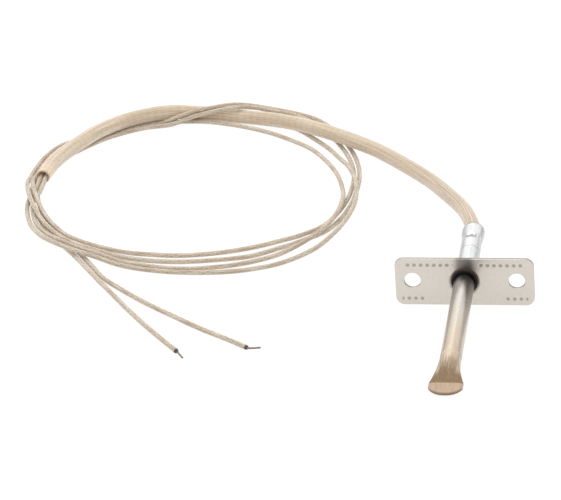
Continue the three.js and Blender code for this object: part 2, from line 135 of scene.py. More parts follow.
# From the sleeve's open end: one turn, a second turn inside it, then the tail.
LEAD_A_ROUTE = [
    (-0.1426, 0.084, 0.0036), (-0.143, 0.0795, 0.0025), (-0.1433, 0.0745, 0.0025),
    (-0.1429, 0.069, 0.0023), (-0.1414, 0.063, 0.0016), (-0.1388, 0.0562, 0.001),
    (-0.1334, 0.0473, 0.0016), (-0.1278, 0.04, 0.0026), (-0.121, 0.0342, 0.00275),
    (-0.1143, 0.0302, 0.0025), (-0.1068, 0.0273, 0.0011), (-0.098, 0.0249), (-0.088, 0.023),
    (-0.0775, 0.0243), (-0.0675, 0.0283), (-0.059, 0.0347, 0.0009), (-0.0525, 0.0423, 0.0019),
    (-0.048, 0.0505, 0.00275), (-0.0456, 0.061, 0.00275), (-0.0452, 0.0745, 0.0024),
    (-0.0469, 0.087, 0.001), (-0.0503, 0.1), (-0.0553, 0.1115), (-0.0615, 0.122), (-0.0695, 0.1303),
    (-0.079, 0.138), (-0.0895, 0.1437), (-0.101, 0.1475), (-0.1105, 0.1475), (-0.118, 0.1471),
    (-0.124, 0.1445), (-0.1295, 0.14), (-0.135, 0.1337, 0.0008), (-0.14, 0.1273, 0.0016),
    (-0.1433, 0.1196, 0.0025), (-0.1458, 0.11, 0.0026), (-0.1468, 0.101, 0.0026),
    (-0.1469, 0.093, 0.0027), (-0.1464, 0.086, 0.0041), (-0.1449, 0.0795, 0.0049),
    (-0.1428, 0.073, 0.0044), (-0.1399, 0.0662, 0.0034), (-0.1364, 0.0593, 0.0025),
    (-0.132, 0.0516, 0.00245), (-0.1263, 0.0438, 0.0025), (-0.1198, 0.0382, 0.0026),
    (-0.1135, 0.0352, 0.0022), (-0.1065, 0.0346, 0.001), (-0.0985, 0.0336), (-0.0895, 0.033),
    (-0.079, 0.035), (-0.069, 0.0392), (-0.0606, 0.0449), (-0.054, 0.0503), (-0.049, 0.057),
    (-0.0462, 0.066), (-0.0444, 0.077), (-0.044, 0.088), (-0.0448, 0.1), (-0.048, 0.1135),
    (-0.0528, 0.126), (-0.0585, 0.1375), (-0.0652, 0.147, 0.0009), (-0.0715, 0.1505, 0.0021),
    (-0.0785, 0.1505, 0.0035), (-0.0845, 0.149, 0.00525), (-0.0905, 0.1472, 0.00595),
    (-0.0978, 0.1464, 0.0048), (-0.1045, 0.146, 0.0032), (-0.1103, 0.1443, 0.0015),
    (-0.1139, 0.1436, 0.0008), (-0.1179, 0.1426), (-0.1215, 0.1409), (-0.1265, 0.1371), (-0.1315, 0.1321),
    (-0.1362, 0.1253), (-0.1408, 0.1168), (-0.144, 0.1085), (-0.1456, 0.0995), (-0.1456, 0.09),
    (-0.144, 0.0807), (-0.1415, 0.0723), (-0.1386, 0.065), (-0.1352, 0.0573), (-0.1308, 0.0498),
    (-0.1255, 0.0416), (-0.12, 0.033), (-0.1146, 0.024), (-0.1093, 0.0152), (-0.1023, 0.007),
    (-0.0933, -0.0025), (-0.0835, -0.0116), (-0.0738, -0.0203), (-0.0653, -0.027), (-0.059, -0.0323),
]
LEAD_B_ROUTE = [
    (-0.1443, 0.084, 0.0037), (-0.1448, 0.0795, 0.0025), (-0.145, 0.0745, 0.0024),
    (-0.1446, 0.0685, 0.0018), (-0.143, 0.0622, 0.001), (-0.1401, 0.0549), (-0.135, 0.0461, 0.0014),
    (-0.1292, 0.0384, 0.0025), (-0.122, 0.0322, 0.00275), (-0.115, 0.0281, 0.0025),
    (-0.107, 0.025, 0.0011), (-0.0975, 0.022), (-0.087, 0.0203), (-0.075, 0.0207), (-0.065, 0.0236),
    (-0.0565, 0.0292), (-0.0488, 0.0395, 0.0009), (-0.0438, 0.0515, 0.0019), (-0.0412, 0.064, 0.00275),
    (-0.0412, 0.077, 0.00275), (-0.0433, 0.091, 0.0027), (-0.047, 0.104, 0.0018), (-0.0513, 0.114),
    (-0.0562, 0.123), (-0.062, 0.1315), (-0.0685, 0.14), (-0.077, 0.1465), (-0.0885, 0.1515),
    (-0.1005, 0.1548), (-0.1125, 0.1561), (-0.1245, 0.1515), (-0.132, 0.144), (-0.1375, 0.136),
    (-0.1417, 0.1285, 0.0012), (-0.1451, 0.12, 0.0024), (-0.1476, 0.11, 0.0026), (-0.1485, 0.101, 0.0026),
    (-0.1486, 0.0925, 0.0027), (-0.148, 0.0855, 0.0036), (-0.1466, 0.0788, 0.0047),
    (-0.1445, 0.0722, 0.0044), (-0.1416, 0.0652, 0.0037), (-0.138, 0.0583, 0.0025),
    (-0.1335, 0.0504, 0.00245), (-0.1276, 0.0424, 0.0025), (-0.1208, 0.0362, 0.0026),
    (-0.114, 0.0326, 0.0022), (-0.1066, 0.0308, 0.001), (-0.0979, 0.0289), (-0.0886, 0.0282),
    (-0.0782, 0.0298), (-0.068, 0.0329), (-0.0597, 0.0396), (-0.053, 0.046), (-0.0476, 0.053),
    (-0.0443, 0.0625), (-0.0426, 0.074), (-0.0422, 0.086), (-0.0429, 0.099), (-0.0452, 0.111),
    (-0.0492, 0.1235), (-0.0551, 0.137), (-0.062, 0.1475, 0.0009), (-0.069, 0.1519, 0.0016),
    (-0.0765, 0.1532, 0.0027), (-0.084, 0.153, 0.0042), (-0.091, 0.1513, 0.0055),
    (-0.098, 0.1481, 0.0057), (-0.105, 0.1472, 0.0043), (-0.1106, 0.1453, 0.003),
    (-0.1141, 0.1452, 0.00155), (-0.118, 0.1448, 0.00085), (-0.1225, 0.1427), (-0.1276, 0.1387),
    (-0.1327, 0.1334), (-0.1375, 0.1264), (-0.1422, 0.1181), (-0.1457, 0.1093), (-0.1474, 0.0998),
    (-0.1474, 0.0895), (-0.1457, 0.0798), (-0.1432, 0.0715), (-0.1403, 0.0642), (-0.1368, 0.0564),
    (-0.1323, 0.0487), (-0.127, 0.0402), (-0.1216, 0.0318), (-0.1162, 0.023), (-0.111, 0.0143),
    (-0.106, 0.0062), (-0.097, -0.0084), (-0.0877, -0.0224), (-0.0785, -0.0353),
]
# where each bare conductor points
BARE_TIP_A = (-0.055, -0.0325)
BARE_TIP_B = (-0.0759, -0.0397)


# ---- the probe's own frame -----------------------------------------------------------
def probe_frame():
    """Local X across the plate, Y along the sheath towards its open end, origin at the seating face."""
    along = -Vector(SEATING_FACE["axis"])
    across = Vector((1, 0, 0))
    up = across.cross(along)
    turn = Matrix((across, along, up)).transposed().to_4x4()
    centre = Vector(SEATING_FACE["pos_m"])
    centre.x = 0
    return Matrix.Translation(centre) @ turn


PROBE = probe_frame()


# ---- camera --------------------------------------------------------------------------
def add_camera():
    """A long lens, a little above the object and slightly to the right of the sheath's line."""
    azimuth, elevation, roll = (math.radians(a) for a in (9.66, 22.73, -3.39))
    aim = Vector((-0.0523, 0.01191, 0.01859))
    distance = 0.9
    back = Vector((
        math.sin(azimuth) * math.cos(elevation),
        -math.cos(azimuth) * math.cos(elevation),
        math.sin(elevation),
    ))
    right = Vector((math.cos(azimuth), math.sin(azimuth), 0))
    up = back.cross(right)
    rolled_right = math.cos(roll) * right + math.sin(roll) * up
    rolled_up = back.cross(rolled_right)
    data = bpy.data.cameras.new("camera")
    data.sensor_width = 36
    data.lens = 201.2
    data.clip_start = 0.01
    data.clip_end = 20
    camera = bpy.data.objects.new("camera", data)
    turn = Matrix((rolled_right, rolled_up, back)).transposed().to_4x4()
    camera.matrix_world = Matrix.Translation(aim + back * distance) @ turn
    bpy.context.scene.collection.objects.link(camera)
    bpy.context.scene.camera = camera
    return back


# ---- mesh helpers --------------------------------------------------------------------
def new_object(name, vertices, faces, material):
    mesh = bpy.data.meshes.new(name)
    mesh.from_pydata([tuple(v) for v in vertices], [], faces)
    mesh.shade_smooth()
    mesh.materials.append(material)
    piece = bpy.data.objects.new(name, mesh)
    bpy.context.scene.collection.objects.link(piece)
    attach(piece, "root")
    return piece


def grid_faces(rows, columns, first=0):
    """Quads of a grid of rings, each ring closed on itself."""
    faces = []
    for i in range(rows - 1):
        for j in range(columns):
            k = (j + 1) % columns
            a, b = first + i * columns, first + (i + 1) * columns
            faces.append((a + j, a + k, b + k, b + j))
    return faces


def cap_faces(rows, columns, first=0):
    """The two end faces of a grid of rings."""
    last = first + (rows - 1) * columns
    around = range(columns)
    return [tuple(first + j for j in around), tuple(last + j for j in reversed(around))]


def flipped(faces):
    return [face[::-1] for face in faces]


def circle_angles(sides):
    return 2 * np.pi * (np.arange(sides) / sides)


def add_local_points(piece, local):
    """Stores each vertex's place in the probe's own frame, in mm, which the materials read."""
    attribute = piece.data.attributes.new("local_mm", "FLOAT_VECTOR", "POINT")
    attribute.data.foreach_set("vector", np.asarray(local / MM, np.float32).ravel())


def to_row_frame(local):
    """Points of the probe's own frame, one a row, in the row frame."""
    turn = np.array(PROBE.to_3x3())
    return local @ turn.T + np.array(PROBE.translation)


def smooth_step(low, high, x):
    t = np.clip((x - low) / (high - low), 0, 1)
    return t * t * (3 - 2 * t)


def bell(x, centre, width):
    return np.exp(-((x - centre) / width) ** 2)


def unit(vector):
    return vector / np.linalg.norm(vector)


# ---- cords ---------------------------------------------------------------------------
def smooth_route(points, spacing):
    """A Catmull-Rom curve through the points, as evenly spaced points."""
    steps_in_span = 24
    p = np.array(points, float)
    p = np.vstack([2 * p[0] - p[1], p, 2 * p[-1] - p[-2]])
    fine = []
    for p0, p1, p2, p3 in zip(p[:-3], p[1:-2], p[2:-1], p[3:]):
        for t in np.linspace(0, 1, steps_in_span, endpoint=False):
            fine.append(
                p1 + 0.5 * t * (p2 - p0) + t * t * (p0 - 2.5 * p1 + 2 * p2 - 0.5 * p3)
                + t ** 3 * (-0.5 * p0 + 1.5 * p1 - 1.5 * p2 + 0.5 * p3)
            )
    fine.append(p[-2])
    fine = np.array(fine)
    at = np.concatenate([[0], np.cumsum(np.linalg.norm(np.diff(fine, axis=0), axis=1))])
    stations = np.linspace(0, at[-1], round(at[-1] / spacing) + 1)
    return np.column_stack([np.interp(stations, at, fine[:, k]) for k in range(3)]), stations


def rings_along(centres, radii):
    """Rings of points round a route's points. Radii has a row for each ring, with one for each side."""
    tangent = np.gradient(centres, axis=0)
    tangent /= np.linalg.norm(tangent, axis=1)[:, None]
    side = np.cross(tangent, (0, 0, 1))
    side /= np.linalg.norm(side, axis=1)[:, None]
    up = np.cross(side, tangent)
    angle = circle_angles(radii.shape[1])[:, None]
    outwards = np.cos(angle) * side[:, None, :] + np.sin(angle) * up[:, None, :]
    return (centres[:, None, :] + radii[:, :, None] * outwards).reshape(-1, 3)


def braid_height(around, along, strands, pitch):
    """Height from 0 to 1 of a plain braid: strands wound both ways, each over one and under one."""
    a = strands * (around + along / pitch)
    b = strands * (around - along / pitch)
    crown_a = np.abs(np.sin(np.pi * a)) ** CROWN_POWER
    crown_b = np.abs(np.sin(np.pi * b)) ** CROWN_POWER
    lift_a = CROSSING_LIFT * np.cos(np.pi * np.floor(a)) * np.sin(np.pi * b)
    lift_b = CROSSING_LIFT * np.cos(np.pi * np.floor(b)) * np.sin(np.pi * a)
    top = 1 + CROSSING_LIFT
    return np.clip(np.maximum(crown_a + lift_a, crown_b - lift_b), 0, top) / top


def add_braid_uv(piece, sides, stations):
    """The braid's coordinates: once round is 1, and the length is in metres."""
    mesh = piece.data
    uv = mesh.uv_layers.new(name="braid")
    loop_vertex = np.zeros(len(mesh.loops), np.int32)
    mesh.loops.foreach_get("vertex_index", loop_vertex)
    column = (loop_vertex % sides).astype(float)
    row = (loop_vertex // sides) % len(stations)
    wraps = np.zeros(len(loop_vertex), bool)
    for polygon in mesh.polygons:
        loops = slice(polygon.loop_start, polygon.loop_start + polygon.loop_total)
        if polygon.loop_total == 4 and column[loops].max() - column[loops].min() > sides / 2:
            wraps[loops] = column[loops] < sides / 2
    u = (column + wraps * sides) / sides
    uv.data.foreach_set("uv", np.column_stack([u, stations[row]]).astype(np.float32).ravel())


def braided_tube(name, route, radius, bore, sides, spacing, braid, material):
    """A braided cord along a route: solid where bore is 0, otherwise an open sleeve."""
    pinch_fade, mouth_fade = 0.025, 0.003
    wave_depth, wave_number = 0.012, 190
    centres, stations = smooth_route(route, spacing)
    around = np.arange(sides) / sides
    height = braid_height(around[None, :], stations[:, None], braid["strands"], braid["pitch"])
    to_end = stations[-1] - stations
    pinch = braid["pinch"] * np.exp(-stations / pinch_fade) + braid["mouth"] * np.exp(-to_end / mouth_fade)
    waves = wave_depth * (1 - np.sin(stations * wave_number)) * braid["waves"]
    outer = radius * (1 - pinch - waves)[:, None] * (1 - braid["depth"] * (1 - height))
    rows = len(centres)
    vertices = rings_along(centres, outer)
    faces = grid_faces(rows, sides)
    if bore:
        inner = np.broadcast_to((bore * (1 - pinch))[:, None], outer.shape)
        vertices = np.vstack([vertices, rings_along(centres, inner)])
        first, last = rows * sides, (rows - 1) * sides
        faces += flipped(grid_faces(rows, sides, first))
        for j in range(sides):
            k = (j + 1) % sides
            faces.append((j, first + j, first + k, k))
            faces.append((last + j, last + k, first + last + k, first + last + j))
    else:
        faces += cap_faces(rows, sides)
    piece = new_object(name, vertices, faces, material)
    add_braid_uv(piece, sides, stations)
    return piece, centres


def beside_sleeve(side_sign):
    """The part of a lead that runs inside the sleeve, beside the sleeve's centre line."""
    centre = np.array(SLEEVE_ROUTE)
    padded = np.vstack([centre[:1], centre, centre[-1:]])
    x, y, _ = (padded[2:] - padded[:-2]).T
    sideways = np.column_stack([y, -x, 0 * x]) / np.hypot(x, y)[:, None]
    return centre + side_sign * LEAD_OFFSET * sideways - (0, 0, LEAD_SINK)


def at_origin(points):
    """Route points, moved from the plate's lower front edge to the row frame."""
    return np.array([(*point, LEAD_R)[:3] for point in points]) + (0, ORIGIN_Y, 0)


def lead_route(side_sign, outside):
    start = PROBE @ Vector((side_sign * LEAD_OFFSET, LEAD_START, -LEAD_SINK / 2))
    return np.vstack([np.array(start), at_origin(beside_sleeve(side_sign)), at_origin(outside)])


# ---- shader helper -------------------------------------------------------------------
class Shader:
    """Builds one material's nodes from short calls. A colour is (r, g, b), linear."""

    def __init__(self, name):
        self.material = bpy.data.materials.new(name)
        self.material.use_nodes = True
        self.nodes = self.material.node_tree.nodes
        self.links = self.material.node_tree.links
        self.surface = self.nodes["Principled BSDF"]
        self.base = None  # the base colour so far, for paint()

    def put(self, socket, value):
        if isinstance(value, bpy.types.NodeSocket):
            self.links.new(value, socket)
        elif socket.type == "RGBA":
            socket.default_value = (*value, 1)
        else:
            socket.default_value = value

    def fill(self, node, **inputs):
        """Sets a node's inputs, with _ for a space in a name."""
        for name, value in inputs.items():
            self.put(node.inputs[name.replace("_", " ")], value)

    def set(self, **inputs):
        """Sets the Principled shader's inputs."""
        self.fill(self.surface, **inputs)

    def math(self, operation, a, b=0.0):
        node = self.nodes.new("ShaderNodeMath")
        node.operation = operation
        for socket, value in zip(node.inputs, (a, b)):
            self.put(socket, value)
        return node.outputs[0]

    def add(self, *values):
        return reduce(partial(self.math, "ADD"), values)

    def times(self, *values):
        return reduce(partial(self.math, "MULTIPLY"), values)

    def minus(self, a, b):
        return self.math("SUBTRACT", a, b)

    def off(self, value, place):
        """How far a coordinate is from a place."""
        return self.math("ABSOLUTE", self.minus(value, place))

    def length(self, x, y):
        """Length of the vector (x, y)."""
        return self.math("SQRT", self.add(self.times(x, x), self.times(y, y)))

    def ramp(self, value, low, high):
        """0 at low, 1 at high, smooth between; low may be above high."""
        node = self.nodes.new("ShaderNodeMapRange")
        node.interpolation_type = "SMOOTHSTEP"
        at_min, at_max = (1.0, 0.0) if low > high else (0.0, 1.0)
        self.fill(node, Value=value, From_Min=min(low, high), From_Max=max(low, high))
        self.fill(node, To_Min=at_min, To_Max=at_max)
        return node.outputs["Result"]

    def mix(self, share, a, b):
        node = self.nodes.new("ShaderNodeMix")
        node.data_type = "RGBA"
        self.put(node.inputs["Factor"], share)
        self.put(node.inputs[6], a)
        self.put(node.inputs[7], b)
        return node.outputs[2]

    def paint(self, colour, *masks):
        """Lays a colour over the base colour, by the product of its masks."""
        self.base = self.mix(self.times(*masks), self.base, colour)

    def attribute(self, name):
        node = self.nodes.new("ShaderNodeAttribute")
        node.attribute_name = name
        return node.outputs["Vector"]

    def object_point(self):
        return self.nodes.new("ShaderNodeTexCoord").outputs["Object"]

    def uv(self, name):
        node = self.nodes.new("ShaderNodeUVMap")
        node.uv_map = name
        return self.parts(node.outputs["UV"])

    def parts(self, vector):
        node = self.nodes.new("ShaderNodeSeparateXYZ")
        self.put(node.inputs[0], vector)
        return node.outputs

    def vector(self, x, y, z):
        node = self.nodes.new("ShaderNodeCombineXYZ")
        for socket, value in zip(node.inputs, (x, y, z)):
            self.put(socket, value)
        return node.outputs[0]

    def stretched(self, vector, scale):
        node = self.nodes.new("ShaderNodeMapping")
        self.fill(node, Vector=vector, Scale=scale)
        return node.outputs[0]

    def noise(self, vector, scale, detail=3.0, roughness=0.5):
        node = self.nodes.new("ShaderNodeTexNoise")
        self.fill(node, Vector=vector, Scale=scale, Detail=detail, Roughness=roughness)
        return node.outputs["Fac"]

    def bump(self, height, distance, strength):
        node = self.nodes.new("ShaderNodeBump")
        self.fill(node, Height=height, Distance=distance, Strength=strength)
        self.set(Normal=node.outputs[0])

    def fibres(self, around_scale, along_scale):
        """Streaks that run lengthwise on the braid coordinates, without a seam round the cord."""
        around, along, _ = self.uv("braid")
        turn = self.times(around, 2 * math.pi)
        x = self.times(self.math("COSINE", turn), around_scale)
        y = self.times(self.math("SINE", turn), around_scale)
        return self.noise(self.vector(x, y, self.times(along, along_scale)), 1.0, 4.0, 0.6)

    def braid(self, strands, pitch):
        """Height of the plain braid on the braid coordinates, and the threads of the strand on top."""
        around, along, _ = self.uv("braid")
        shift = self.math("DIVIDE", along, pitch)
        windings = (self.add(around, shift), self.minus(around, shift))
        phases = [self.times(winding, strands) for winding in windings]
        sines, turns, crowns, threads = [], [], [], []
        for phase in phases:
            sine = self.math("SINE", self.times(phase, math.pi))
            sines.append(sine)
            turns.append(self.math("COSINE", self.times(self.math("FLOOR", phase), math.pi)))
            crowns.append(self.math("POWER", self.math("ABSOLUTE", sine), CROWN_POWER))
            threads.append(self.math("SINE", self.times(phase, 2 * THREADS_IN_STRAND * math.pi)))
        level_a = self.add(crowns[0], self.times(turns[0], sines[1], CROSSING_LIFT))
        level_b = self.minus(crowns[1], self.times(turns[1], sines[0], CROSSING_LIFT))
        height = self.times(self.math("MAXIMUM", level_a, level_b), 1 / (1 + CROSSING_LIFT))
        on_top = self.nodes.new("ShaderNodeMix")
        self.put(on_top.inputs["Factor"], self.math("GREATER_THAN", level_a, level_b))
        self.put(on_top.inputs[2], threads[1])
        self.put(on_top.inputs[3], threads[0])
        return height, on_top.outputs[0]


# ---- materials -----------------------------------------------------------------------
# The braid reads metres along the cord. The sheath, plate and braze read the probe's frame, in mm.
def glass_braid(name, braid):
    """Glass-fibre braid: pale strand crowns, darker gaps, lengthwise streaks and patchy varnish."""
    aged_dark, aged_light = (0.25, 0.17, 0.095), (0.55, 0.43, 0.305)
    gap = braid["gap"]
    s = Shader(name)
    height, thread = s.braid(braid["strands"], braid["pitch"])
    streak = s.fibres(*braid["streaks"])
    point = s.object_point()
    patches = s.noise(point, 120.0, 3.0)
    fuzz = s.noise(point, 5200.0, 2.0)
    s.base = s.mix(s.ramp(height, 0.2, 0.8), gap, braid["crown"])
    s.paint(braid["stain"], s.ramp(patches, 0.42, 0.72), 0.6)
    s.paint(braid["light"], s.ramp(streak, 0.50, 0.66), 0.75)
    s.paint(gap, s.ramp(streak, 0.46, 0.32), 0.7)
    s.paint(gap, s.ramp(thread, -0.2, -1.0), 0.12)
    # the length next to the hot probe is browner
    _, along, _ = s.uv("braid")
    fibre = s.mix(s.ramp(streak, 0.38, 0.62), aged_dark, aged_light)
    s.paint(s.mix(s.ramp(height, 0.1, 0.5), gap, fibre), s.ramp(along, 0.13, 0.05), braid["aged"])
    s.set(Base_Color=s.base, Roughness=s.add(0.62, s.times(fuzz, 0.3)))
    s.set(Sheen_Weight=braid["sheen"], Sheen_Roughness=0.5, Sheen_Tint=(1.0, 0.94, 0.85))
    s.set(Specular_IOR_Level=0.3)
    if braid["lit_mouth"]:
        # painted glow: the open end shines a little on its own, standing in for light let through the thin
        # glass
        mouth = s.ramp(along, braid["lit_mouth"] - 0.008, braid["lit_mouth"] - 0.001)
        s.set(Emission_Color=(0.9, 0.60, 0.34), Emission_Strength=s.times(mouth, 0.17))
    relief = s.add(height, s.times(streak, 0.8), s.times(thread, 0.10), s.times(fuzz, 0.15))
    s.bump(relief, braid["relief"], strength=0.7)
    return s.material


def sheath_steel():
    """Drawn stainless tube: bright at the rear, painted dark reflection next to the plate, straw to brown
    at the tip.
    """
    bright, plain, grey = (0.74, 0.745, 0.76), (0.59, 0.565, 0.535), (0.36, 0.365, 0.385)
    shadow, dark_reflection = (0.20, 0.20, 0.21), (0.055, 0.045, 0.043)
    straw, amber, brown = (0.58, 0.495, 0.395), (0.40, 0.30, 0.20), (0.205, 0.13, 0.064)
    tan, darkening = (0.44, 0.325, 0.225), (0.25, 0.185, 0.13)
    s = Shader("sheath_steel")
    local = s.attribute("local_mm")
    across, along, up = s.parts(local)
    station = s.times(along, -1.0)
    out = s.math("ABSOLUTE", across)
    streaks = s.noise(s.stretched(local, (2.6, 0.16, 2.6)), 1.0, 4.0, 0.6)
    clouds = s.noise(local, 0.35, 3.0)
    grain = s.noise(s.stretched(local, (14.0, 0.5, 14.0)), 1.0, 3.0)
    s.base = s.mix(s.ramp(station, -4.0, 0.0), bright, plain)
    s.paint(straw, s.ramp(s.add(station, s.times(clouds, 14.0)), 14.0, 46.0))
    # painted dark reflection of the plate on the front length next to it, most along its flanks
    right_flank = s.ramp(s.add(across, s.times(station, 0.012)), 0.5, 2.0)
    left_flank = s.ramp(across, -1.5, -2.4)
    fade = s.times(s.ramp(station, 24.0, -2.0), 0.97)
    front = s.ramp(station, -0.6, 0.0)
    s.paint(dark_reflection, s.math("MAXIMUM", right_flank, left_flank), fade, front)
    s.paint(dark_reflection, s.ramp(station, 6.0, 1.2), front, 0.8)
    # the crimped rear end: painted shade on the flanks, painted shade in one dimple on top, a tool line
    # and the cut rim
    rear = s.ramp(station, -1.0, -2.5)
    s.paint(grey, s.ramp(out, 2.3, 3.0), rear, 0.55)
    s.paint(grey, s.ramp(streaks, 0.52, 0.40), rear, 0.25)
    at_dimple = s.ramp(s.off(along, DIMPLE_AT / MM), 1.25, 0.5)
    s.paint(shadow, at_dimple, s.ramp(out, 1.9, 1.2), s.ramp(up, 1.5, 2.0), 0.8)
    s.paint(grey, s.ramp(s.off(along, GROOVE_AT / MM), 0.45, 0.15), 0.5)
    s.paint(grey, s.ramp(along, TUBE_REAR / MM - 0.7, TUBE_REAR / MM - 0.1), 0.75)
    # the brown heat tint of the taper, in streaks, and the tan tab
    s.paint(amber, s.ramp(station, 36.0, 47.0), 0.35)
    edge = s.add(station, s.times(s.minus(streaks, 0.5), 12.0))
    # painted highlight: the brown tint and the dull finish are kept off the taper's flanks, so they stay
    # light
    highlit_flank = s.minus(1.0, s.times(s.ramp(out, 2.0, 2.8), s.ramp(station, 54.5, 50.5)))
    tint = s.times(s.ramp(edge, 44.0, 53.0), s.add(0.66, s.times(streaks, 0.6)), highlit_flank)
    s.paint(brown, s.math("MINIMUM", tint, 1.0))
    tab_at, tip_at = -TAB_START / MM, -TIP_END / MM
    bow = s.math("POWER", s.times(out, MM / TIP_HALF_WIDTH), TIP_BOW_POWER)
    rim = s.ramp(s.add(station, s.times(bow, TIP_BOW / MM)), tip_at - 0.5, tip_at)
    tab = s.mix(s.times(s.ramp(streaks, 0.55, 0.40), 0.35), tan, darkening)
    s.paint(s.mix(s.times(rim, 0.8), tab, darkening), s.ramp(station, tab_at - 0.2, tab_at + 0.2))
    dull = s.times(s.ramp(edge, 38.0, 50.0), highlit_flank)
    s.set(Base_Color=s.base, Metallic=s.minus(1.0, s.times(dull, 0.8)))
    s.set(Roughness=s.add(0.22, s.times(grain, 0.10), s.times(dull, 0.4)))
    s.bump(s.add(s.times(grain, 0.5), s.times(streaks, 0.5)), distance=0.00003, strength=0.35)
    return s.material


def plate_steel():
    """Stamped stainless sheet: fine roll lines, a darker ring round the tube, and rows of plain pips."""
    dark_steel, light_steel, edge_grey = (0.63, 0.585, 0.525), (0.66, 0.615, 0.555), (0.30, 0.275, 0.25)
    dark_ring, tube_reflection, darkening = (0.24, 0.20, 0.18), (0.20, 0.175, 0.16), (0.03, 0.027, 0.025)
    pip_grey = (0.22, 0.20, 0.18)
    s = Shader("plate_steel")
    local = s.attribute("local_mm")
    across, depth, up = s.parts(local)
    roll = s.noise(s.stretched(local, (0.7, 3.0, 12.0)), 1.0, 4.0, 0.6)
    mottle = s.noise(local, 0.9, 4.0, 0.6)
    out = s.math("ABSOLUTE", across)
    radius = s.length(across, up)
    s.base = s.mix(s.ramp(mottle, 0.3, 0.7), dark_steel, light_steel)
    cut_edge = s.times(s.ramp(depth, 0.08, 0.22), s.ramp(depth, 0.99, 0.94))
    s.paint(edge_grey, cut_edge, 0.8)
    s.paint(dark_ring, s.ramp(s.add(radius, s.times(mottle, 0.8)), 5.3, 4.3), 0.6)
    # painted reflection: a dark band above the tube, where the plate mirrors it
    s.paint(tube_reflection, s.ramp(out, 3.6, 1.2), s.ramp(up, 3.0, 4.6), 0.75)
    # painted shade: near black in the gap round the tube, on the hole's bore and the inner drawn-in rim
    shaded_bore = s.ramp(radius, 4.0, 3.5)
    s.paint(darkening, shaded_bore, 0.95)
    # pips, in mm: one row under the top edge, and a short one near each lower corner
    spacing, soft = 1.9, 0.1
    cell = s.minus(s.math("FRACT", s.math("DIVIDE", across, spacing)), 0.5)
    x = s.times(cell, spacing)
    front_face = s.ramp(depth, 0.35, 0.15)
    pips = 0.0
    for height, nearest, farthest in ((5.5, 3.2, 17.2), (-5.4, 11.3, 18.2)):
        in_row = s.times(s.ramp(out, nearest, nearest + soft), s.ramp(out, farthest, farthest - soft))
        off_centre = s.length(x, s.minus(up, height))
        pips = s.add(pips, s.times(s.ramp(off_centre, 0.68, 0.36), in_row, front_face))
    s.paint(pip_grey, pips, 0.65)
    s.set(Base_Color=s.base, Metallic=1.0)
    rough_cut = s.times(s.math("MAXIMUM", cut_edge, shaded_bore), 0.4)
    s.set(Roughness=s.add(0.24, s.times(roll, 0.10), rough_cut))
    relief = s.add(s.times(roll, 0.04), s.times(mottle, 0.08), s.times(pips, -1.0))
    s.bump(relief, distance=0.00012, strength=0.6)
    return s.material


def braze_metal():
    """Braze: painted shade, near black, where it fills the plate's hole; worn bronze grey behind the
    plate.
    """
    dark_bronze, light_bronze, black = (0.20, 0.165, 0.135), (0.46, 0.42, 0.36), (0.022, 0.019, 0.017)
    s = Shader("braze")
    local = s.attribute("local_mm")
    _, depth, _ = s.parts(local)
    clouds = s.noise(local, 1.2, 4.0, 0.6)
    pits = s.noise(local, 7.0, 2.0)
    # painted shade: near black where the braze fills the plate's hole, in the gap round the tube
    darkening = s.ramp(depth, 1.15, 0.9)
    s.base = s.mix(s.ramp(clouds, 0.3, 0.7), dark_bronze, light_bronze)
    s.paint(black, darkening)
    s.set(Base_Color=s.base, Metallic=s.minus(1.0, s.times(darkening, 0.8)))
    s.set(Roughness=s.add(0.38, s.times(pits, 0.15), s.times(darkening, 0.35)))
    s.bump(s.add(clouds, s.times(pits, 0.4)), distance=0.00004, strength=0.5)
    return s.material


def worn_metal(name, light, dark, roughness, scale=900.0):
    """Plain metal with cloudy colour and fine pitting."""
    s = Shader(name)
    point = s.object_point()
    clouds = s.noise(point, scale, 4.0, 0.6)
    pits = s.noise(point, scale * 6, 2.0)
    s.set(Base_Color=s.mix(s.ramp(clouds, 0.3, 0.7), dark, light), Metallic=1.0)
    s.set(Roughness=s.add(roughness, s.times(pits, 0.15)))
    s.bump(s.add(clouds, s.times(pits, 0.4)), distance=0.00004, strength=0.5)
    return s.material


def matt_solid(name, light, dark, scale=700.0, roughness=0.75):
    """Ceramic, cement or varnish: a matt body with grain."""
    s = Shader(name)
    point = s.object_point()
    clouds = s.noise(point, scale, 4.0)
    grain = s.noise(point, scale * 9, 2.0)
    s.set(Base_Color=s.mix(s.ramp(clouds, 0.3, 0.7), dark, light))
    s.set(Roughness=s.add(roughness - 0.1, s.times(grain, 0.2)))
    s.bump(s.add(clouds, grain), distance=0.00003, strength=0.5)
    return s.material


# ---- pieces --------------------------------------------------------------------------
def sheath_section(y, cos, sin, inset):
    """How far the sheath reaches across and up at y, for each direction round it."""
    press = np.clip((FLATTEN_START - y) / FLATTEN_LENGTH, 0, 1)
    crimp = smooth_step(CRIMP_START, TUBE_REAR - 0.002, y)
    widening = (TIP_HALF_WIDTH - TUBE_R) * press ** 2.2 + (CRIMP_HALF_WIDTH - TUBE_R) * crimp
    thinning = (TUBE_R - TIP_HALF_THICKNESS) * press ** 1.8 + (TUBE_R - CRIMP_HALF_HEIGHT) * crimp
    power = 1 / (1 + 0.7 * press)
    across = np.sign(cos) * np.abs(cos) ** power * (TUBE_R + widening - inset)
    up = np.sign(sin) * np.abs(sin) ** power * (TUBE_R - thinning - inset)
    return across, up


